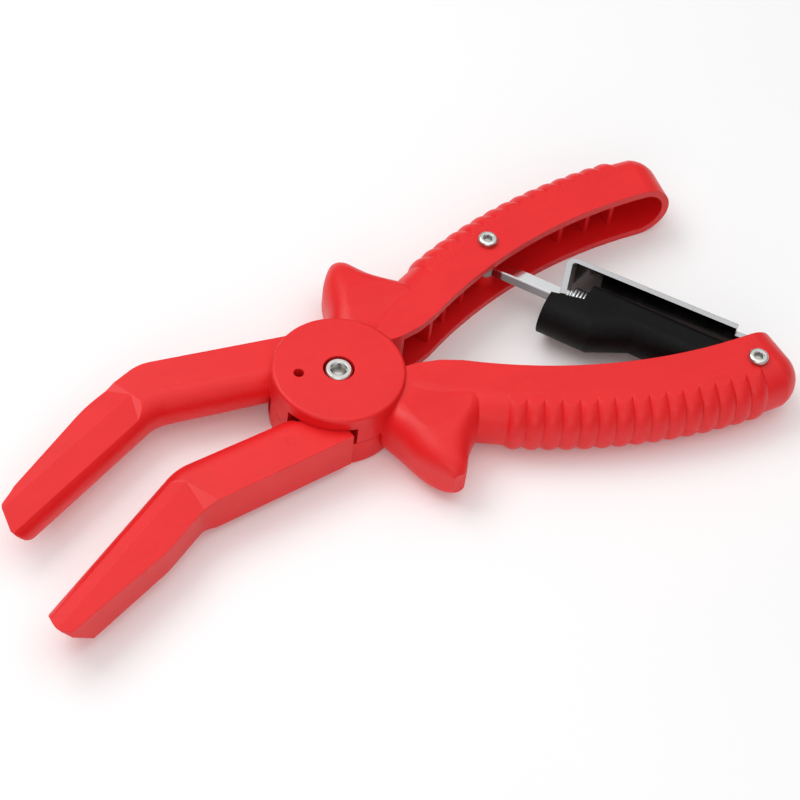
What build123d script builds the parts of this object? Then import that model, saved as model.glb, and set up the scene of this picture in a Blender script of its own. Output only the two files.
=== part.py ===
from build123d import *
from math import atan2, cos, degrees, hypot, radians, sin, sqrt
import os

os.makedirs("parts", exist_ok=True)

# ---------------------------------------------------------------- overall heights
HANDLE_T = 24.0        # thickness of both handles
MID = HANDLE_T / 2     # height of the plane the two halves turn on
DISC_TOP = 25.6        # top of the upper pivot disc, proud of the handles
JAW_HALF = 8.0         # half thickness of the jaws
LOCK_HALF = 8.5        # half thickness of the lock arm
PART_GAP = 0.15        # half of the gap between the two pivot discs

# ---------------------------------------------------------------- handles (arm B, arm A is mirrored)
BOW_X = 145.0          # centre of the circle the handle is bowed on
BOW_Y = -160.0
BOW_IN = 199.0         # inner face radius
BOW_OUT = 223.5        # bottom of the grip grooves
EDGE_R = 12.0          # full round on the outer side
WALL = 3.0             # wall of the channel inside each handle
END_DEG = 85.2         # direction of the free end seen from the bow centre
START_DEG = 127.0      # handle stock runs back into the pivot disc to here
CHANNEL_DEG = 124.6    # the channel starts here, close to the pivot disc
RIB_COUNT = 15
RIB_STEP = 1.713       # degrees between grip grooves
RIB_FIRST = 115.67     # direction of the first groove
RIB_RISE = 1.35        # crest height above a groove
GAP_LINE = [(0, 6.3), (28, 6.7), (36.5, 8.4), (44, 11.5)]  # inner side of the handle next to the pivot

# ---------------------------------------------------------------- pivot
DISC_R = 24.2          # radius of both discs
DISC_CLEAR = 24.7      # recess cut in each handle for the other half's disc
CORE_R = 17.3          # inside this radius the discs keep their full height
NECK_R = 17.8          # a jaw neck reaches in to this radius over the other disc
BORE_R = 3.06
M6_HEAD_D = 10.0
M6_HEAD_H = 6.0
M6_LEN = 18.0
COUNTERBORE_R = 5.7
HEAD_SEAT = 19.4
NUT_AF = 10.0
NUT_Z = 1.0
NUT_H = 6.0
SPRING_R = 10.7        # mean radius of the opening spring
SPRING_WIRE = 1.1
LEG_R = 14.55          # radius of the two spring leg holes
LEG_A_DEG = 167.4
LEG_B_DEG = 20.0
LEG_HOLE_R = 1.9

# ---------------------------------------------------------------- lock linkage
PX, PY = 79.0, 37.6    # screw that carries the lock bar in arm B
QX, QY = 146.4, -50.3  # screw that carries the lock arm in arm A
BAR_W = 5.6
BAR_H = 4.6
BAR_LEN = 84.0
BAR_EYE_R = 5.5
BAR_HOLE_R = 2.65
NOSE_X = 30.6          # front of the lock arm, measured along the bar from its screw
NOSE_Y = -9.6          # the nose bulges to the pivot side of the bar
SHOULDER_X = 43.2      # end of the open notch round the lock spring
SPRING_BORE_R = 7.0
ARM_TUBE_R = 9.2
PLATE_T = 2.4
PLATE_HALF = 8.0
TAB_HALF = 4.0
SCREW_D = 4.0
SCREW_HEAD_D = 7.5
SCREW_LEN = 22.0
SCREW_SOCKET_AF = 3.0
SCREW_NUT_AF = 7.0
SCREW_NUT_H = 3.2
SCREW_NUT_Z = 0.9
SCREW_NUT_POCKET = 4.2

PQ = hypot(QX - PX, QY - PY)
LOCK_DEG = degrees(atan2(QY - PY, QX - PX))
LOCK = Location((PX, PY, MID), (0, 0, LOCK_DEG))


def bowed(profile, start, end):
    """Turn a radial profile round the bow centre between two directions."""
    body = revolve(profile, axis=Axis.Z, revolution_arc=start - end)
    return Location((BOW_X, BOW_Y, 0), (0, 0, end)) * body


def d_profile(r_in, r_round, r, z_low, z_high):
    """Flat sided strip closed by a half circle on the outside of the bow."""
    with BuildSketch(Plane.XZ) as sk:
        with BuildLine():
            Polyline((r_round, z_low), (r_in, z_low), (r_in, z_high), (r_round, z_high))
            ThreePointArc((r_round, z_high), (r_round + r, (z_low + z_high) / 2), (r_round, z_low))
        make_face()
    return sk.sketch


def on_bow(radius, deg):
    return (BOW_X + radius * cos(radians(deg)), BOW_Y + radius * sin(radians(deg)))


def prism(points, z0, z1):
    with BuildSketch(Plane.XY.offset(z0)) as sk:
        with BuildLine():
            Polyline(*points, close=True)
        make_face()
    return extrude(sk.sketch, amount=z1 - z0)


def cyl(x, y, r, z0, z1):
    return Location((x, y, (z0 + z1) / 2)) * Cylinder(r, z1 - z0)


def rounded_outline(points, z0, z1):
    """Extruded polygon; every point is (x, y, corner radius)."""
    with BuildSketch(Plane.XY.offset(z0)) as sk:
        with BuildLine():
            Polyline(*[(p[0], p[1]) for p in points], close=True)
        make_face()
        for x, y, r in points:
            if r > 0:
                corner = sk.vertices().sort_by_distance((x, y, z0))[0]
                fillet(corner, r)
    return extrude(sk.sketch, amount=z1 - z0)


def hex_bar(x, y, across_flats, z0, z1):
    with BuildSketch(Plane.XY.offset(z0)) as sk:
        with Locations((x, y)):
            RegularPolygon(across_flats / 2, 6, major_radius=False)
    return extrude(sk.sketch, amount=z1 - z0)


def sector(r0, r1, z0, z1, a0, a1):
    """Ring sector round the main pivot from direction a0 to a1."""
    with BuildSketch(Plane.XZ) as sk:
        with Locations(((r0 + r1) / 2, (z0 + z1) / 2)):
            Rectangle(r1 - r0, z1 - z0)
    ring = revolve(sk.sketch, axis=Axis.Z, revolution_arc=a1 - a0)
    return Rot(0, 0, a0) * ring


def grip_ribs():
    """Barrel shaped ridges that wrap round the outer side of the handle."""
    half = 6.68 / 2 + 0.35
    base = EDGE_R
    with BuildSketch(Plane.XY) as sk:
        with BuildLine():
            ThreePointArc((-half, base - 0.2), (0, base + RIB_RISE), (half, base - 0.2))
            Polyline((half, base - 0.2), (half, 0), (-half, 0), (-half, base - 0.2))
        make_face()
    barrel = revolve(sk.sketch, axis=Axis.X, revolution_arc=360)
    ribs = []
    for i in range(RIB_COUNT):
        deg = RIB_FIRST - (i + 0.5) * RIB_STEP
        x, y = on_bow(BOW_OUT - EDGE_R, deg)
        ribs.append(Location((x, y, MID), (0, 0, deg - 90)) * barrel)
    slab = prism([(20, -20), (180, -20), (180, 90), (20, 90)], 0.04, HANDLE_T - 0.04)
    return [rib & slab for rib in ribs]


def horn():
    """Finger guard: a tapering spur growing out of the handle next to the disc."""
    stations = [
        (29.0, 14.0, 34.0, 23.94, 9.0),
        (28.4, 26.0, 41.2, 23.9, 9.0),
        (24.4, 38.0, 25.2, 23.3, 9.0),
        (22.8, 45.0, 16.4, 21.0, 7.4),
        (23.0, 49.5, 10.4, 17.6, 5.0),
        (23.3, 53.4, 4.6, 10.0, 2.2),
    ]
    faces = []
    for x, y, width, height, r in stations:
        plane = Plane(origin=(x, y, MID), x_dir=(1, 0, 0), z_dir=(0, 1, 0))
        with BuildSketch(plane) as sk:
            RectangleRounded(width, height, r)
        faces.append(sk.sketch)
    return loft(faces) & prism([(-10, 0), (60, 0), (60, 70), (-10, 70)], 0.03, HANDLE_T - 0.03)


def short_of_end(inset):
    """Everything short of the handle's ball shaped free end, moved in by the given inset."""
    r = HANDLE_T / 2 - inset + 0.05
    outer = BOW_OUT - EDGE_R
    reach = Location((-inset - r - 150, 150, 0)) * Box(300, 300, 2 * r + 1)
    nose = Location((-inset - r, outer / 2, 0), (90, 0, 0)) * Cylinder(r, outer)
    ball = Location((-inset - r, outer, 0)) * Sphere(r)
    return Location((BOW_X, BOW_Y, MID), (0, 0, END_DEG - 90)) * (reach + nose + ball)


def handle():
    """Handle stock of arm B with ribs and guard, before the pivot is cut."""
    stock = bowed(d_profile(BOW_IN, BOW_OUT - EDGE_R, EDGE_R, 0, HANDLE_T), START_DEG, END_DEG - 3)
    body = stock & short_of_end(0)
    for rib in grip_ribs():
        body = body + rib
    body = body + horn()
    return body


def channel():
    """Space inside the handle, open toward the other handle."""
    space = bowed(d_profile(BOW_IN - 2, BOW_OUT - EDGE_R, EDGE_R - WALL, WALL, HANDLE_T - WALL),
                  CHANNEL_DEG, END_DEG - 3)
    return space & short_of_end(WALL)


def webs(directions):
    """Thin stiffening ribs across the channel, set back from its mouth."""
    result = []
    for deg, back in directions:
        strip = bowed(d_profile(BOW_IN + back, BOW_OUT - EDGE_R, EDGE_R - 1.5, 1.5, HANDLE_T - 1.5),
                      deg + 0.25, deg - 0.25)
        result.append(strip)
    return result


def mirrored(shape):
    return mirror(shape, about=Plane.XZ)


def jaw(outline, edge_line, blade, tip, sweep_up):
    """Neck and blade. edge_line lists the clamping edge points that get the full round."""
    body = rounded_outline(outline, MID - JAW_HALF, MID + JAW_HALF)
    picked = []
    for edge in body.edges():
        c = edge.center()
        if abs(abs(c.Z - MID) - JAW_HALF) < 0.01:
            for x, y in edge_line:
                if hypot(c.X - x, c.Y - y) < 6:
                    picked.append(edge)
                    break
    body = fillet(picked, JAW_HALF - 0.4)
    (x0, y0), (x1, y1), side, ridge_in = blade
    length = hypot(x1 - x0, y1 - y0)
    turn = degrees(atan2(y1 - y0, x1 - x0))
    for sign in (1, -1):
        for slope, across in ((13.0, side), (9.0, -side)):
            start = Location((x0, y0, MID + sign * JAW_HALF), (0, 0, turn))
            wedge = Location((length / 2 + 4, across * 15, sign * 6)) * Box(length + 48, 30, 12)
            lean = Location((0, ridge_in, 0), (-sign * across * slope, 0, 0))
            ramp = Location((0, 0, 0), (0, sign * RAMP_DEG, 0)) * Location((0, 0, sign * 30)) * Box(400, 80, 60)
            body = body - start * (lean * wedge & ramp)
    x, y, deg = sweep_up
    under = Location((0, 0, 0), (0, -UNDER_DEG, 0)) * Location((0, 0, -30)) * Box(60, 80, 60)
    body = body - Location((x, y, MID + JAW_HALF - 0.8), (0, 0, deg)) * under
    return body & rounded_outline(tip, 0, HANDLE_T)


# ---------------------------------------------------------------- plan of the jaws
# outlines: (x, y, corner radius); both blades bend toward -Y
RAMP_DEG = 19.0        # slope that leads from the flat neck down to the blade's roof
UNDER_DEG = 50.0       # the underside of each tip is swept up at this slope
A_OUT = [(-4, 24.2, 0), (-64, 31.6, 16), (-87.5, 21.2, 60), (-136, -13.0, 0), (-136, -27.3, 0),
         (-64.5, 10.6, 14), (-10, 5.0, 0)]
A_EDGE = [(-37, 7.8), (-64.5, 10.6), (-100, -8.2)]
A_BLADE = ((-66.0, 9.8), (-123.6, -20.7), 1, -11.2)
A_TIP = [(30, 60, 0), (-80, 60, 0), (-122.0, -3.6, 30), (-129.8, -10.0, 8), (-130.2, -24.3, 4.5),
         (-112, -14.65, 0), (-112, -40, 0), (30, -40, 0)]
A_SWEEP = (-129.4, -17.5, 170)
B_OUT = [(-5.5, -26.2, 0), (-65.5, -35.0, 12), (-83.0, -46.4, 26), (-134, -70.1, 0), (-134, -57.0, 0),
         (-68.0, -13.3, 20), (-10, -6.2, 0)]
B_EDGE = [(-37, -9.5), (-68.0, -13.9), (-100, -34.6)]
B_BLADE = ((-72.0, -16.0), (-124.3, -50.6), -1, 8.2)
B_TIP = [(30, 20, 0), (-104, 20, 0), (-104, -37.1, 0), (-128.6, -53.4, 4), (-128.4, -63.0, 3.5),
         (-121.5, -66.5, 2.5), (-60, -80, 0), (30, -80, 0)]
B_SWEEP = (-128.4, -60.5, 200)

# ---------------------------------------------------------------- arm A: upper disc, lower handle, left jaw
GRIP = handle()
SPACE = channel()

disc_a = cyl(0, 0, DISC_R, MID + PART_GAP, DISC_TOP)
disc_a = fillet(disc_a.edges().group_by(Axis.Z)[-1], 1.3)
bow_a = mirrored(GRIP - SPACE)
for web in webs([(119.3, 3.0), (116.0, 5.0), (112.6, 6.0), (109.2, 7.0)]):
    bow_a = bow_a + mirrored(web)
bow_a = bow_a - mirrored(prism(GAP_LINE + [(44, -30), (0, -30)], -1, 30))
bow_a = bow_a - cyl(0, 0, DISC_CLEAR, -1, MID + PART_GAP)
jaw_a = jaw(A_OUT, A_EDGE, A_BLADE, A_TIP, A_SWEEP)
jaw_a = jaw_a - cyl(0, 0, NECK_R, 0, MID + PART_GAP)
jaw_a = jaw_a - sector(NECK_R - 1, DISC_CLEAR, 0, MID + PART_GAP, 156.0, 200)
arm_a = bow_a + disc_a + jaw_a + cyl(QX, QY, 5.0, WALL - 0.5, 5.2)
arm_a = arm_a - sector(CORE_R, 27.2, MID - 1, MID + JAW_HALF + 0.3, 199, 263)
arm_a = arm_a - cyl(0, 0, BORE_R, 0, 30) - cyl(0, 0, COUNTERBORE_R, HEAD_SEAT, 30)
arm_a = arm_a - sector(8.0, 13.5, 11, 16.6, 0, 360)
arm_a = arm_a - Rot(0, 0, LEG_A_DEG) * cyl(LEG_R, 0, LEG_HOLE_R, 11, 30)
arm_a = arm_a - cyl(QX, QY, SCREW_D / 2 + 0.05, -1, 30)
arm_a = arm_a - hex_bar(QX, QY, SCREW_NUT_AF + 0.3, -1, SCREW_NUT_POCKET)

# ---------------------------------------------------------------- arm B: lower disc, upper handle, right jaw
disc_b = cyl(0, 0, DISC_R, 0, MID - PART_GAP)
disc_b = fillet(disc_b.edges().group_by(Axis.Z)[0], 1.5)
bow_b = GRIP - SPACE
for web in webs([(119.3, 3.0), (116.0, 5.0), (112.6, 6.0), (97.9, 7.0), (94.4, 7.0), (91.3, 7.0)]):
    bow_b = bow_b + web
bow_b = bow_b - prism(GAP_LINE + [(44, -30), (0, -30)], -1, 30)
bow_b = bow_b - cyl(0, 0, DISC_CLEAR, MID - PART_GAP, 30)
jaw_b = jaw(B_OUT, B_EDGE, B_BLADE, B_TIP, B_SWEEP)
jaw_b = jaw_b - cyl(0, 0, NECK_R, MID - PART_GAP, 30)
jaw_b = jaw_b - sector(NECK_R - 1, DISC_CLEAR, MID - PART_GAP, 30, 170, 211.5)
arm_b = bow_b + disc_b + jaw_b
arm_b = arm_b + cyl(PX, PY, 5.0, WALL - 0.5, MID - BAR_H / 2 - 0.3)
arm_b = arm_b + cyl(PX, PY, 5.0, MID + BAR_H / 2 + 0.3, HANDLE_T - WALL + 0.5)
arm_b = arm_b - sector(CORE_R, 27.2, MID - JAW_HALF - 0.3, MID + 1, 98.0, 168.5)
arm_b = arm_b - cyl(0, 0, BORE_R, -1, 30)
arm_b = arm_b - sector(8.0, 13.5, 7.4, 13, 0, 360)
arm_b = arm_b - Rot(0, 0, LEG_B_DEG) * cyl(LEG_R, 0, LEG_HOLE_R, 2.5, 13)
arm_b = arm_b - cyl(PX, PY, SCREW_D / 2 + 0.05, -1, 30)
arm_b = arm_b - hex_bar(PX, PY, SCREW_NUT_AF + 0.3, -1, SCREW_NUT_POCKET)
arm_b = arm_b - hex_bar(0, 0, NUT_AF + 0.3, -1, NUT_Z + NUT_H)


# ---------------------------------------------------------------- fasteners
def nut(across_flats, bore, z0, height, x, y):
    body = hex_bar(x, y, across_flats, z0, z0 + height)
    cone = Location((x, y, z0 + height / 2)) * Cylinder(across_flats / sqrt(3) - 0.15, height)
    cone = chamfer(cone.edges().filter_by(GeomType.CIRCLE), height * 0.14)
    return (body & cone) - cyl(x, y, bore, z0 - 1, z0 + height + 1)


def cap_screw():
    """M6 socket head cap screw, head up."""
    head = cyl(0, 0, M6_HEAD_D / 2, HEAD_SEAT, HEAD_SEAT + M6_HEAD_H)
    head = chamfer(head.edges().group_by(Axis.Z)[-1], 0.6)
    shank = cyl(0, 0, 3.0, HEAD_SEAT - M6_LEN, HEAD_SEAT + 0.5)
    shank = chamfer(shank.edges().group_by(Axis.Z)[0], 0.5)
    socket = hex_bar(0, 0, 5.0, HEAD_SEAT + M6_HEAD_H - 3.0, HEAD_SEAT + M6_HEAD_H + 1)
    mouth = Location((0, 0, HEAD_SEAT + M6_HEAD_H - 0.35)) * Cone(2.5, 3.2, 0.7)
    return head + shank - socket - mouth


def button_screw(x, y):
    """M4 button head screw with a hex socket, head resting on the handle."""
    head = cyl(x, y, SCREW_HEAD_D / 2, HANDLE_T + 0.02, HANDLE_T + 2.2)
    head = fillet(head.edges().group_by(Axis.Z)[-1], 1.1)
    shank = cyl(x, y, SCREW_D / 2, HANDLE_T - SCREW_LEN, HANDLE_T + 1)
    shank = chamfer(shank.edges().group_by(Axis.Z)[0], 0.4)
    socket = hex_bar(x, y, SCREW_SOCKET_AF, HANDLE_T + 0.7, HANDLE_T + 3)
    mouth = Location((x, y, HANDLE_T + 2.0)) * Cone(SCREW_SOCKET_AF / 2, SCREW_SOCKET_AF / 2 + 0.6, 0.6)
    return head + shank - socket - mouth


pivot_screw = cap_screw()
pivot_nut = nut(NUT_AF, 3.0, NUT_Z, NUT_H - 0.3, 0, 0)
bar_screw = button_screw(PX, PY)
bar_nut = nut(SCREW_NUT_AF, SCREW_D / 2, SCREW_NUT_Z, SCREW_NUT_H, PX, PY)
arm_screw = button_screw(QX, QY)
arm_nut = nut(SCREW_NUT_AF, SCREW_D / 2, SCREW_NUT_Z, SCREW_NUT_H, QX, QY)


# ---------------------------------------------------------------- opening spring in the pivot
def opening_spring():
    """Torsion spring round the pivot bosses, one leg up into each disc."""
    turns = 2 + (LEG_A_DEG - LEG_B_DEG) / 360
    low = MID - 3.0
    high = MID + 3.0
    coil_path = Rot(0, 0, LEG_B_DEG) * Location((0, 0, low)) * Helix((high - low) / turns, high - low, SPRING_R)
    start = coil_path @ 0
    end = coil_path @ 1
    section = Plane(origin=start, z_dir=coil_path % 0) * Circle(SPRING_WIRE)
    body = sweep(section, path=coil_path, is_frenet=True)
    for point, deg, reach in ((end, LEG_A_DEG, 20.5), (start, LEG_B_DEG, 4.0)):
        out = Vector(LEG_R * cos(radians(deg)), LEG_R * sin(radians(deg)), point.Z)
        foot = Vector(out.X, out.Y, reach)
        body = body + Location(point) * Sphere(SPRING_WIRE)
        for a, b in ((point, out), (out, foot)):
            step = b - a
            rod = extrude(Plane(origin=a, z_dir=step) * Circle(SPRING_WIRE), amount=step.length)
            body = body + rod + Location(b) * Sphere(SPRING_WIRE)
    return body


spring_open = opening_spring()


# ---------------------------------------------------------------- lock bar, drawn along +X from its screw
def lock_bar_shape():
    bar = Location((BAR_LEN / 2, 0, 0)) * Box(BAR_LEN, BAR_W, BAR_H)
    bar = chamfer(bar.edges().filter_by(Axis.X), 0.5)
    bar = chamfer(bar.faces().sort_by(Axis.X)[-1].edges(), 0.35)
    eye = Cylinder(BAR_EYE_R, BAR_H)
    return bar + eye - Cylinder(BAR_HOLE_R, 20)


lock_bar = LOCK * lock_bar_shape()


# ---------------------------------------------------------------- lock arm
def tube_along(points, r):
    """Round stock with mitred corners."""
    path = Polyline(*points)
    start = Plane(origin=points[0], z_dir=Vector(*points[1]) - Vector(*points[0]))
    return sweep(start * Circle(r), path=path, transition=Transition.RIGHT)


def lock_arm_shape():
    rear = Location(((SHOULDER_X + PQ) / 2, -0.45, 0), (0, 90, 0)) * Cylinder(ARM_TUBE_R, PQ - SHOULDER_X)
    tip = Location((PQ, 0, 0)) * Sphere(LOCK_HALF)
    nose = tube_along([(NOSE_X, NOSE_Y, 0), (48.9, NOSE_Y, 0), (63.3, -1.2, 0), (80, -1.2, 0)], LOCK_HALF)
    fill = prism([(NOSE_X, NOSE_Y), (48.9, NOSE_Y), (63.3, -1.2), (63.3, 0), (NOSE_X, 0)], -LOCK_HALF, LOCK_HALF)
    body = (rear + tip + nose + fill) & Box(400, 60, 2 * LOCK_HALF)
    notch = prism([(20, -10.0), (SHOULDER_X, -3.9), (SHOULDER_X, 40), (20, 40)], -20, 20)
    body = body - notch
    body = body - Location(((20 + SHOULDER_X) / 2, 0, 0), (0, 90, 0)) * Cylinder(SPRING_BORE_R, SHOULDER_X - 20)
    body = body - Location((73, 0, 0)) * Box(62, BAR_W + 0.7, BAR_H + 0.7)
    body = body - Location((36.6, -8.5, 0)) * Box(6.4, 6.4, TAB_HALF * 2 + 0.8)
    body = body - Location((PQ, 0, -LOCK_HALF)) * Cylinder(6.2, 2 * 2.3)
    return body - Location((PQ, 0, 0)) * Cylinder(SCREW_D / 2 + 0.06, 40)


lock_arm = LOCK * lock_arm_shape()


# ---------------------------------------------------------------- release plate
def strip(points, thickness, half, bend):
    """Bent strip: centre line points in plan, constant thickness, given half width in Z."""
    with BuildLine() as line:
        Polyline(*points)
    path = line.line
    if bend > 0:
        with BuildLine() as line:
            FilletPolyline(*points, radius=bend)
        path = line.line
    with BuildSketch() as sk:
        add(trace(path, thickness))
    return Location((0, 0, -half)) * extrude(sk.sketch, amount=2 * half)


def release_plate_shape():
    lean = 4.5 / 16.7
    wide = strip([(33.2 + lean * 5.2, -5.2), (29.75, 12.8), (98.0, 14.4)], PLATE_T, PLATE_HALF, 2.6)
    tongue = strip([(33.2 + lean * 3.0, -3.0), (33.2 + lean * 10.2, -10.2)], PLATE_T, TAB_HALF, 0)
    tab = strip([(97.0, 14.38), (104.6, 15.2), (109.4, 13.4)], PLATE_T, TAB_HALF, 2.0)
    hole = Location((33.2, 0, 0), (0, 0, degrees(atan2(lean, 1)))) * Box(12, BAR_W + 1.3, BAR_H + 0.8)
    return wide + tongue + tab - hole


release_plate = LOCK * release_plate_shape()


# ---------------------------------------------------------------- lock spring
def lock_spring_shape():
    """Compression spring round the bar between the plate and the lock arm."""
    start_x = 36.4
    length = SHOULDER_X - start_x - 0.7
    path = Plane(origin=(start_x, 0, 0), z_dir=(1, 0, 0)) * Helix(length / 4.5, length, 5.1)
    section = Plane(origin=path @ 0, z_dir=path % 0) * Circle(0.55)
    return sweep(section, path=path, is_frenet=True)


lock_spring = LOCK * lock_spring_shape()

for name, shape in (
    ("arm_a", arm_a),
    ("arm_b", arm_b),
    ("pivot_screw", pivot_screw),
    ("pivot_nut", pivot_nut),
    ("opening_spring", spring_open),
    ("bar_screw", bar_screw),
    ("bar_nut", bar_nut),
    ("arm_screw", arm_screw),
    ("arm_nut", arm_nut),
    ("lock_bar", lock_bar),
    ("lock_arm", lock_arm),
    ("release_plate", release_plate),
    ("lock_spring", lock_spring),
):
    export_step(shape, f"parts/{name}.step")
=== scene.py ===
import bpy
from math import atan2, cos, radians, sin
from mathutils import Matrix, Vector

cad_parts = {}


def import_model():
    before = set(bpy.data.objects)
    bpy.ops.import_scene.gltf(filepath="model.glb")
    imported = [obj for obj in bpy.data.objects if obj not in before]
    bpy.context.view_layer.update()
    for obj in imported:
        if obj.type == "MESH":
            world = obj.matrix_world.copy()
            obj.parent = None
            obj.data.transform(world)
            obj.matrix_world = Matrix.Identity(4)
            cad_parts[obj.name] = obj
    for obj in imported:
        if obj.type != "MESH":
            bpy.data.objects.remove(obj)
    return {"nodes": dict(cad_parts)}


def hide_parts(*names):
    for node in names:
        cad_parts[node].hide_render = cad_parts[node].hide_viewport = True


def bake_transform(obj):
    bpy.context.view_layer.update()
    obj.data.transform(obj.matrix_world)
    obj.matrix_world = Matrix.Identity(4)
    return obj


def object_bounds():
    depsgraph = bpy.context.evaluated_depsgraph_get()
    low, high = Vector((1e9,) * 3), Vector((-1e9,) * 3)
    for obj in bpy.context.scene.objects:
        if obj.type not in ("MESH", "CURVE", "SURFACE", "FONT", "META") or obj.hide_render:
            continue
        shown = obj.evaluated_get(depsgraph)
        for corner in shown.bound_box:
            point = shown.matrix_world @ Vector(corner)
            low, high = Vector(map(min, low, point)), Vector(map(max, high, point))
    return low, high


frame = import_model()
nodes = frame["nodes"]
cad_low, cad_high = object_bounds()

MM = 0.001
BAR_PIVOT = Vector((79.0, 37.6, 12.0)) * MM    # screw that carries the lock bar in arm B
ARM_PIVOT = Vector((146.4, -50.3, 12.0)) * MM  # screw that carries the lock arm in arm A
LOCK_TURN = atan2(ARM_PIVOT.y - BAR_PIVOT.y, ARM_PIVOT.x - BAR_PIVOT.x)

RAY_SAMPLES = 6       # rays per shading point in bevel and occlusion nodes
FLAT_DOT = 0.998      # true normal against rounded normal: at this or above, a flat
SHARP_DOT = 0.70      # at this or below, a full edge
STANDING_Z = 0.15     # normals that point up less than this belong to upright faces
LYING_Z = 0.75        # normals that point up more than this belong to lying faces


# ---------------------------------------------------------------- node helpers
class Mat:
    """A material being wired up, with short names for the nodes used here.

    Noise and cell scales count per metre; radii and distances are in metres.
    """

    def __init__(self, name):
        self.mat = bpy.data.materials.new(name)
        self.mat.use_nodes = True
        self.tree = self.mat.node_tree
        self.bsdf = self.tree.nodes["Principled BSDF"]
        coords = self.add("ShaderNodeTexCoord")
        self.object = coords.outputs["Object"]

    def add(self, kind, **settings):
        node = self.tree.nodes.new(kind)
        for key, value in settings.items():
            setattr(node, key, value)
        return node

    def link(self, source, target):
        self.tree.links.new(source, target)

    def feed(self, socket, value):
        """Gives a socket a number, an RGB colour or another node's output."""
        if isinstance(value, tuple):
            socket.default_value = (*value, 1)
        elif isinstance(value, (int, float)):
            socket.default_value = value
        else:
            self.link(value, socket)

    def mapped(self, scale=(1, 1, 1), turn=(0, 0, 0), move=(0, 0, 0)):
        node = self.add("ShaderNodeMapping")
        node.inputs["Location"].default_value = move
        node.inputs["Rotation"].default_value = turn
        node.inputs["Scale"].default_value = scale
        self.link(self.object, node.inputs["Vector"])
        return node.outputs["Vector"]

    def noise(self, scale, detail, rough, vector=None):
        node = self.add("ShaderNodeTexNoise")
        node.inputs["Scale"].default_value = scale
        node.inputs["Detail"].default_value = detail
        node.inputs["Roughness"].default_value = rough
        self.link(vector or self.object, node.inputs["Vector"])
        return node.outputs["Fac"]

    def cells(self, scale):
        node = self.add("ShaderNodeTexVoronoi")
        node.inputs["Scale"].default_value = scale
        self.link(self.object, node.inputs["Vector"])
        return node.outputs["Distance"]

    def ramp(self, value, stops):
        """Colours a value by (position, RGB) stops."""
        node = self.add("ShaderNodeValToRGB")
        elements = node.color_ramp.elements
        while len(elements) < len(stops):
            elements.new(0.5)
        for element, (position, colour) in zip(elements, stops):
            element.position = position
            element.color = (*colour, 1)
        self.link(value, node.inputs["Fac"])
        return node.outputs["Color"]

    def span(self, value, source, target):
        """Maps the source range onto the target range, clamped at both ends."""
        node = self.add("ShaderNodeMapRange")
        for key, number in zip(("From Min", "From Max", "To Min", "To Max"), (*source, *target)):
            node.inputs[key].default_value = number
        self.link(value, node.inputs["Value"])
        return node.outputs["Result"]

    def math(self, operation, a, b=None, clamp=False):
        node = self.add("ShaderNodeMath", operation=operation, use_clamp=clamp)
        for socket, value in zip(node.inputs, (a, b)):
            if value is not None:
                self.feed(socket, value)
        return node.outputs["Value"]

    def mix(self, factor, a, b):
        """Colour a where the factor is 0, colour b where it is 1."""
        node = self.add("ShaderNodeMix", data_type="RGBA")
        factor_socket, a_socket, b_socket = node.inputs[0], node.inputs[6], node.inputs[7]
        for socket, value in ((factor_socket, factor), (a_socket, a), (b_socket, b)):
            self.feed(socket, value)
        return node.outputs[2]

    def bump(self, height, strength, distance, normal):
        node = self.add("ShaderNodeBump")
        node.inputs["Strength"].default_value = strength
        node.inputs["Distance"].default_value = distance
        self.link(height, node.inputs["Height"])
        self.link(normal, node.inputs["Normal"])
        return node.outputs["Normal"]

    def soft_normal(self, radius):
        """Normals that look rounded within the radius of an edge."""
        bevel = self.add("ShaderNodeBevel", samples=RAY_SAMPLES)
        bevel.inputs["Radius"].default_value = radius
        return bevel.outputs["Normal"]

    def edge(self, radius):
        """0 on flats, 1 on convex and concave edges."""
        rounded = self.soft_normal(radius)
        geometry = self.add("ShaderNodeNewGeometry")
        dot = self.add("ShaderNodeVectorMath", operation="DOT_PRODUCT")
        self.link(rounded, dot.inputs[0])
        self.link(geometry.outputs["Normal"], dot.inputs[1])
        return self.span(dot.outputs["Value"], (FLAT_DOT, SHARP_DOT), (0, 1))

    def worn(self, radius, patch_scale, patch_range):
        """Edges rubbed in uneven patches, up to 1 where they are rubbed most."""
        edges = self.edge(radius)
        patches = self.span(self.noise(patch_scale, 4, 0.6), patch_range, (0.1, 1.0))
        return self.math("MULTIPLY", edges, patches, clamp=True)

    def shelter(self, distance):
        """1 in the open, falling toward 0 deep inside recesses of the same piece."""
        node = self.add("ShaderNodeAmbientOcclusion", samples=RAY_SAMPLES, only_local=True)
        node.inputs["Distance"].default_value = distance
        return node.outputs["AO"]

    def upright(self):
        """1 on faces that stand upright, 0 on those that lie flat."""
        geometry = self.add("ShaderNodeNewGeometry")
        split = self.add("ShaderNodeSeparateXYZ")
        self.link(geometry.outputs["True Normal"], split.inputs["Vector"])
        return self.span(self.math("ABSOLUTE", split.outputs["Z"]), (STANDING_Z, LYING_Z), (1, 0))

    def distance_from(self, x, y):
        """Distance, seen from above, to a point given in metres."""
        offset = self.add("ShaderNodeVectorMath", operation="SUBTRACT")
        self.link(self.object, offset.inputs[0])
        offset.inputs[1].default_value = (x, y, 0)
        flat = self.add("ShaderNodeVectorMath", operation="MULTIPLY")
        self.link(offset.outputs["Vector"], flat.inputs[0])
        flat.inputs[1].default_value = (1, 1, 0)
        length = self.add("ShaderNodeVectorMath", operation="LENGTH")
        self.link(flat.outputs["Vector"], length.inputs[0])
        return length.outputs["Value"]

    def set(self, **values):
        """Feeds inputs of the Principled shader, named with underscores for spaces."""
        for key, value in values.items():
            self.feed(self.bsdf.inputs[key.replace("_", " ")], value)


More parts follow.
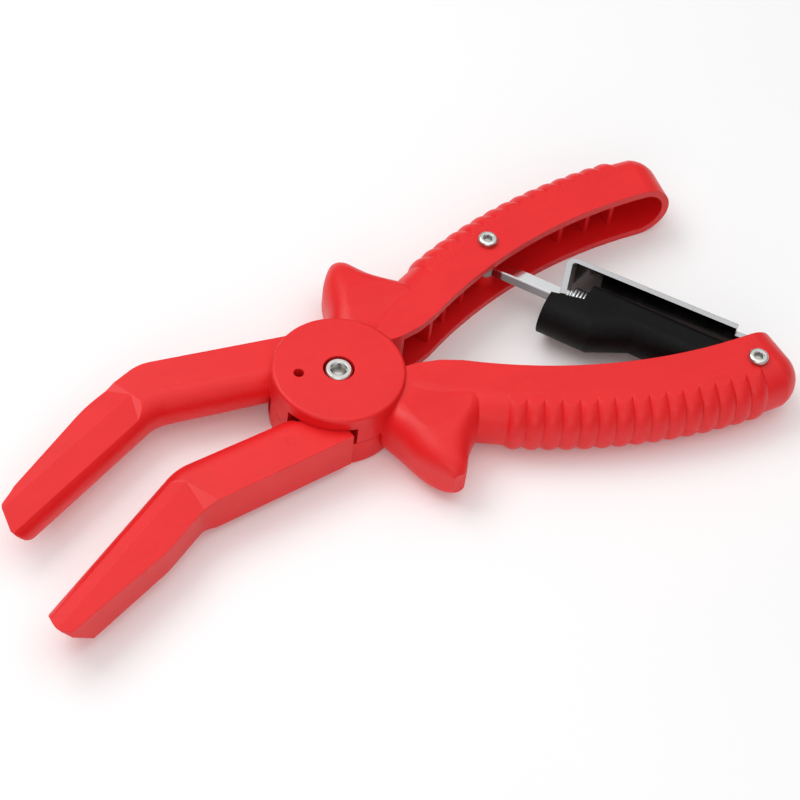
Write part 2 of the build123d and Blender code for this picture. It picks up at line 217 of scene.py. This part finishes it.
def dress(material, *names):
    for name in names:
        mesh = nodes[name].data
        mesh.materials.clear()
        mesh.materials.append(material)
        for polygon in mesh.polygons:
            polygon.use_smooth = True


# ---------------------------------------------------------------- materials
BLACK, WHITE = (0, 0, 0), (1, 1, 1)
NYLON_IOR = 1.5

RED_DEEP, RED_BRIGHT = (0.800, 0.0095, 0.012), (0.860, 0.0125, 0.015)
RED_FLOW = (0.720, 0.007, 0.010)
RED_SPECK = (1.0, 0.16, 0.13)
# Painted shade: the colour the red darkens to inside recesses and creases
RED_PAINTED_SHADE = (0.500, 0.004, 0.006)
RED_WORN = (0.95, 0.10, 0.08)

NYLON_BLACK = (0.0008, 0.0007, 0.0008)
NYLON_DARK = (0.0020, 0.0018, 0.0019)
NYLON_GLINT = (0.030, 0.028, 0.029)
NYLON_WORN = (0.040, 0.038, 0.039)

# Painted shade: the colour metal darkens to inside recesses such as screw sockets
METAL_PAINTED_SHADE = (0.030, 0.026, 0.024)

PIN_STEP = 0.12       # mm over which an ejector pin's ring rises, each side of its radius

# Ejector pin marks as x, y and radius in mm
ARM_A_PINS = [(-56.0, 18.6, 2.3), (126.0, -62.0, 2.3)]
ARM_B_PINS = [(-26.0, -19.5, 2.3), (-86.0, -44.0, 1.4)]


def red_nylon(name, pins, seed):
    """Moulded glass-filled nylon: glass grain, flow marks, ejector pin rings, rubbed edges, and
    painted shade in recesses.
    """
    m = Mat(name)
    shifted = m.mapped(move=(seed, seed * 0.7, 0))
    clouds = m.noise(38, 3, 0.5, shifted)
    flow = m.noise(1, 5, 0.6, m.mapped(scale=(55, 150, 150), turn=(0, 0, seed)))
    grain = m.noise(2600, 3, 0.65, shifted)
    fibre = m.noise(1, 2, 0.5, m.mapped(scale=(900, 3600, 3600), turn=(0, 0, 0.5)))

    colour = m.ramp(clouds, [(0.30, RED_DEEP), (0.70, RED_BRIGHT)])
    colour = m.mix(m.span(flow, (0.45, 0.75), (0, 0.35)), colour, RED_FLOW)
    specks = m.ramp(grain, [(0.60, BLACK), (0.74, WHITE)])
    colour = m.mix(m.math("MULTIPLY", specks, 0.22), colour, RED_SPECK)
    # Painted shade: darker red deep in recesses and creases, from ambient occlusion
    recess_painted_shade = m.span(m.shelter(0.004), (0.25, 0.65), (0.30, 0))
    colour = m.mix(recess_painted_shade, colour, RED_PAINTED_SHADE)
    worn = m.worn(0.0005, 160, (0.40, 0.65))
    colour = m.mix(m.math("MULTIPLY", worn, 0.22), colour, RED_WORN)

    cloudy_grain = m.math("ADD", grain, m.math("MULTIPLY", clouds, 0.6))
    rough = m.span(cloudy_grain, (0.5, 1.1), (0.30, 0.47))

    grain_height = m.math("ADD", grain, m.math("MULTIPLY", fibre, 0.6))
    normal = m.soft_normal(0.00035)
    for x, y, radius in pins:
        ring = ((radius - PIN_STEP) * MM, (radius + PIN_STEP) * MM)
        disc = m.span(m.distance_from(x * MM, y * MM), ring, (0, 1))
        normal = m.bump(disc, 0.35, 0.00018, normal)
    normal = m.bump(m.noise(240, 3, 0.5, shifted), 0.10, 0.0006, normal)
    normal = m.bump(grain_height, 0.34, 0.00014, normal)
    m.set(Base_Color=colour, Roughness=rough, Normal=normal, IOR=NYLON_IOR,
          Specular_IOR_Level=0.40, Subsurface_Weight=0.06, Subsurface_Scale=0.0015)
    return m.mat


def black_nylon(name):
    """Spark-textured black nylon: each grain catches a little light."""
    m = Mat(name)
    grain = m.noise(1700, 4, 0.7)
    clouds = m.noise(60, 3, 0.5)

    colour = m.ramp(grain, [(0.35, NYLON_BLACK), (0.60, NYLON_DARK), (0.76, NYLON_GLINT)])
    worn = m.worn(0.0006, 210, (0.42, 0.68))
    colour = m.mix(m.math("MULTIPLY", worn, 0.4), colour, NYLON_WORN)

    rough = m.span(m.math("ADD", clouds, grain), (0.75, 1.25), (0.40, 0.62))

    waves = m.noise(300, 2, 0.5)
    normal = m.bump(waves, 0.08, 0.0006, m.soft_normal(0.0006))
    normal = m.bump(grain, 0.75, 0.00030, normal)
    m.set(Base_Color=colour, Roughness=rough, Normal=normal, IOR=NYLON_IOR,
          Specular_IOR_Level=0.16)
    return m.mat


def metal(name, tint, dull, upright_painted_shade, rough_range, turn, brushed):
    """Bright metal with drawn or brushed lines, pits and stains.

    Stains and lines take the dull colour. Upright faces lean toward the colour given for sides,
    mixed half with the dull colour, as painted shade, and recesses get painted shade from
    occlusion.
    The lines run in the direction turn, in radians about Z, and brushed is how strong they are.
    """
    m = Mat(name)
    lines = m.noise(1, 4, 0.6, m.mapped(scale=(60, 2400, 2400), turn=(0, 0, -turn)))
    pits = m.cells(1500)
    stain = m.noise(170, 5, 0.6)

    colour = m.mix(m.span(stain, (0.50, 0.78), (0, 0.22)), tint, dull)
    colour = m.mix(m.span(lines, (0.55, 0.75), (0, 0.10 + 0.2 * brushed)), colour, dull)
    # Painted shade: upright faces darker than lying ones
    colour = m.mix(m.upright(), colour, m.mix(0.5, upright_painted_shade, dull))
    # Painted shade: darker deep in recesses such as screw sockets, from ambient occlusion
    recess_painted_shade = m.span(m.shelter(0.0022), (0.15, 0.75), (0.92, 0))
    colour = m.mix(recess_painted_shade, colour, METAL_PAINTED_SHADE)

    rough = m.span(m.math("ADD", lines, stain), (0.75, 1.3), rough_range)

    normal = m.soft_normal(0.00022)
    normal = m.bump(m.ramp(pits, [(0.0, BLACK), (0.16, WHITE)]), 0.10, 0.00005, normal)
    normal = m.bump(lines, 0.05 + 0.25 * brushed, 0.00006, normal)
    m.set(Base_Color=colour, Roughness=rough, Normal=normal, Metallic=1.0)
    return m.mat


dress(red_nylon("red_nylon_a", ARM_A_PINS, 0.13), "arm_a")
dress(red_nylon("red_nylon_b", ARM_B_PINS, 0.57), "arm_b")
dress(black_nylon("black_nylon"), "lock_arm")
# Each metal's side colour is painted shade for its upright faces
dress(
    metal("plated_bar", tint=(0.90, 0.91, 0.92), dull=(0.62, 0.62, 0.62), upright_painted_shade=(0.02, 0.02, 0.02),
          rough_range=(0.08, 0.18), turn=LOCK_TURN, brushed=0.20),
    "lock_bar",
)
dress(
    metal("sheet_steel", tint=(0.74, 0.74, 0.76), dull=(0.42, 0.40, 0.39), upright_painted_shade=(0.02, 0.01, 0.01),
          rough_range=(0.10, 0.22), turn=LOCK_TURN, brushed=0.25),
    "release_plate",
)
dress(
    metal("zinc_screw", tint=(0.82, 0.81, 0.78), dull=(0.55, 0.53, 0.48), upright_painted_shade=(0.45, 0.44, 0.42),
          rough_range=(0.16, 0.28), turn=0.4, brushed=0.1),
    "pivot_screw", "pivot_nut", "bar_screw", "bar_nut", "arm_screw", "arm_nut",
)
dress(
    metal("spring_wire", tint=(0.72, 0.73, 0.75), dull=(0.45, 0.44, 0.43), upright_painted_shade=(0.60, 0.60, 0.60),
          rough_range=(0.16, 0.28), turn=0.0, brushed=0.0),
    "lock_spring", "opening_spring",
)


# ---------------------------------------------------------------- opening spring
def twisting_spring():
    """A copy of the opening spring in its own object, shown in place of the imported part, which
    is hidden.
    """
    rest = nodes["opening_spring"]
    coil = bpy.data.objects.new("twisting_spring", rest.data.copy())
    coil.matrix_world = rest.matrix_world
    bpy.context.scene.collection.objects.link(coil)
    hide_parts("opening_spring")
    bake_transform(coil)


twisting_spring()


# ---------------------------------------------------------------- floor, light, camera
FLOOR_HALF = 3.0      # m from the middle of the floor to each side
FLOOR_DROP = 0.0002   # m that the floor lies under the rest face
FLOOR_DARK, FLOOR_LIGHT = (0.90, 0.90, 0.90), (0.93, 0.93, 0.93)

# The surround's grey at three heights, from the horizon at 0 to straight up at 1
HORIZON = (0.02, (0.10, 0.10, 0.10, 1))
SHOULDER = (0.30, (0.26, 0.26, 0.26, 1))
OVERHEAD = (0.72, (1, 1, 1, 1))
SURROUND_STRENGTH = 0.74

LIGHTS_AIM = (0.02, -0.01, 0.0)
LIGHTS = (            # name, position in m, width and height in m, power in W
    ("key", (-0.35, 0.55, 0.95), (0.9, 0.6), 4.7),
    ("front_fill", (-0.55, -0.95, 0.55), (0.9, 0.5), 2.2),
    ("top_soft", (0.10, 0.0, 1.3), (1.4, 1.4), 2.9),
)

CAMERA_EYE = Vector((-239.8, -431.5, 615.9)) * MM
CAMERA_AIM = Vector((20.0, -11.7, 12.0)) * MM
CAMERA_ROLL = radians(8.18)
CAMERA_LENS, CAMERA_SENSOR = 97.2, 36.0   # mm


def floor():
    mesh = bpy.data.meshes.new("floor")
    z = cad_low.z - FLOOR_DROP
    corners = [(-1, -1), (1, -1), (1, 1), (-1, 1)]
    mesh.from_pydata([(x * FLOOR_HALF, y * FLOOR_HALF, z) for x, y in corners], [], [(0, 1, 2, 3)])
    obj = bpy.data.objects.new("floor", mesh)
    bpy.context.scene.collection.objects.link(obj)
    m = Mat("pale_floor")
    colour = m.ramp(m.noise(3, 2, 0.5), [(0.3, FLOOR_DARK), (0.7, FLOOR_LIGHT)])
    m.set(Base_Color=colour, Roughness=0.7, Specular_IOR_Level=0.15,
          Emission_Color=(1.0, 1.0, 1.0), Emission_Strength=0.07)
    mesh.materials.append(m.mat)


def world():
    """Studio surround: bright overhead, darkest at the horizon for the metals to mirror."""
    scene_world = bpy.data.worlds.new("studio")
    scene_world.use_nodes = True
    tree = scene_world.node_tree
    background = tree.nodes["Background"]
    coords = tree.nodes.new("ShaderNodeTexCoord")
    split = tree.nodes.new("ShaderNodeSeparateXYZ")
    ramp = tree.nodes.new("ShaderNodeValToRGB")
    stops = ramp.color_ramp.elements
    stops[0].position, stops[0].color = HORIZON
    stops[1].position, stops[1].color = OVERHEAD
    stops.new(SHOULDER[0]).color = SHOULDER[1]
    tree.links.new(coords.outputs["Generated"], split.inputs["Vector"])
    tree.links.new(split.outputs["Z"], ramp.inputs["Fac"])
    tree.links.new(ramp.outputs["Color"], background.inputs["Color"])
    background.inputs["Strength"].default_value = SURROUND_STRENGTH
    bpy.context.scene.world = scene_world


def area_light(name, position, size, power):
    data = bpy.data.lights.new(name, "AREA")
    data.shape = "RECTANGLE"
    data.size, data.size_y = size
    data.energy = power
    obj = bpy.data.objects.new(name, data)
    obj.location = position
    toward = Vector(LIGHTS_AIM) - Vector(position)
    obj.rotation_euler = toward.to_track_quat("-Z", "Y").to_euler()
    bpy.context.scene.collection.objects.link(obj)


def camera():
    """Camera at the viewing angle of the reference photograph, rolled as that one is."""
    ahead = (CAMERA_AIM - CAMERA_EYE).normalized()
    right = ahead.cross(Vector((0, 0, 1))).normalized()
    up = right.cross(ahead)
    rolled_right = right * cos(CAMERA_ROLL) + up * sin(CAMERA_ROLL)
    rolled_up = up * cos(CAMERA_ROLL) - right * sin(CAMERA_ROLL)
    data = bpy.data.cameras.new("camera")
    data.lens = CAMERA_LENS
    data.sensor_width = CAMERA_SENSOR
    data.clip_start = 0.01
    obj = bpy.data.objects.new("camera", data)
    turn = Matrix((rolled_right, rolled_up, -ahead)).transposed().to_4x4()
    obj.matrix_world = Matrix.Translation(CAMERA_EYE) @ turn
    bpy.context.scene.collection.objects.link(obj)
    bpy.context.scene.camera = obj


floor()
world()
for light in LIGHTS:
    area_light(*light)
camera()

view = bpy.context.scene.view_settings
view.view_transform = "Standard"
view.look = "None"
view.exposure = 0.0
view.gamma = 1.0
